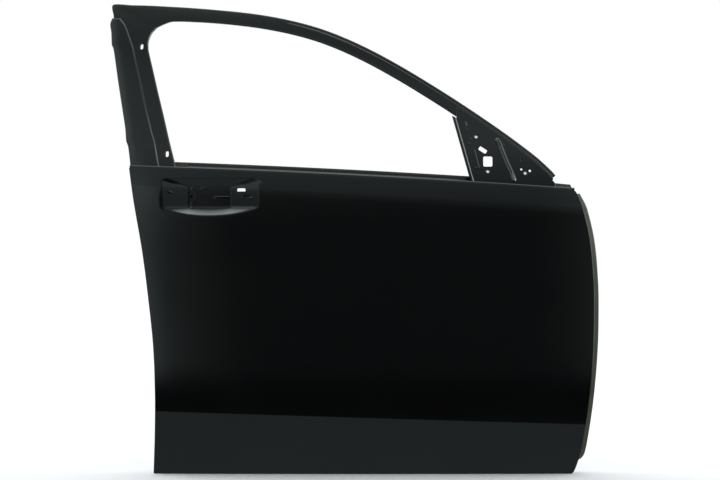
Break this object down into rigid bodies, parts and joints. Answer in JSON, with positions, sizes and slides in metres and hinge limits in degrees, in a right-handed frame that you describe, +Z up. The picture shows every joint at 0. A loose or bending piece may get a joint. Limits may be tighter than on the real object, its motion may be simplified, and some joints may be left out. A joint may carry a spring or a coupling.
{
  "type": "car door shell",
  "caption": "Bare front right car door shell in gloss black: skin, inner panel, window frame and reinforcements.",
  "frame": {"origin": "middle of the upper hinge face, on the outer side of the hinge wall", "axes": "+X to the front of the car, +Y from the outside of the door to the cabin, +Z up"},
  "size_m": [1.2189, 0.2785, 1.1738],
  "materials": {
    "black_coated_steel": "gloss",
    "zinc_plated_steel": "satin",
    "mastic": "matte"
  },
  "bodies": {
    "root": {"outer_panel": "black_coated_steel", "inner_panel": "black_coated_steel", "window_frame_outer": "black_coated_steel", "window_frame_inner": "black_coated_steel", "glass_run_channel": "black_coated_steel", "pillar_reinforcement": "black_coated_steel", "mirror_reinforcement": "black_coated_steel", "front_glass_guide": "black_coated_steel", "rear_glass_guide": "black_coated_steel", "front_guide_bracket": "black_coated_steel", "rear_guide_bracket": "black_coated_steel", "belt_reinforcement_outer": "black_coated_steel", "belt_reinforcement_inner": "black_coated_steel", "impact_beam": "black_coated_steel", "beam_bracket_front": "black_coated_steel", "beam_bracket_rear": "black_coated_steel", "hinge_reinforcement_upper": "black_coated_steel", "hinge_reinforcement_lower": "black_coated_steel", "check_strap_plate": "black_coated_steel", "latch_reinforcement": "black_coated_steel", "handle_bracket": "black_coated_steel", "pull_handle_bracket": "black_coated_steel", "hinge_nut_plate_upper": "zinc_plated_steel", "hinge_nut_plate_lower": "zinc_plated_steel", "mirror_weld_nut_1": "zinc_plated_steel", "mirror_weld_nut_2": "zinc_plated_steel", "mirror_weld_nut_3": "zinc_plated_steel", "panel_weld_nut_1": "zinc_plated_steel", "panel_weld_nut_2": "zinc_plated_steel", "panel_weld_nut_3": "zinc_plated_steel", "panel_weld_nut_4": "zinc_plated_steel", "flutter_pad_1": "mastic", "flutter_pad_2": "mastic", "flutter_pad_3": "mastic"}
  },
  "joints": []
}
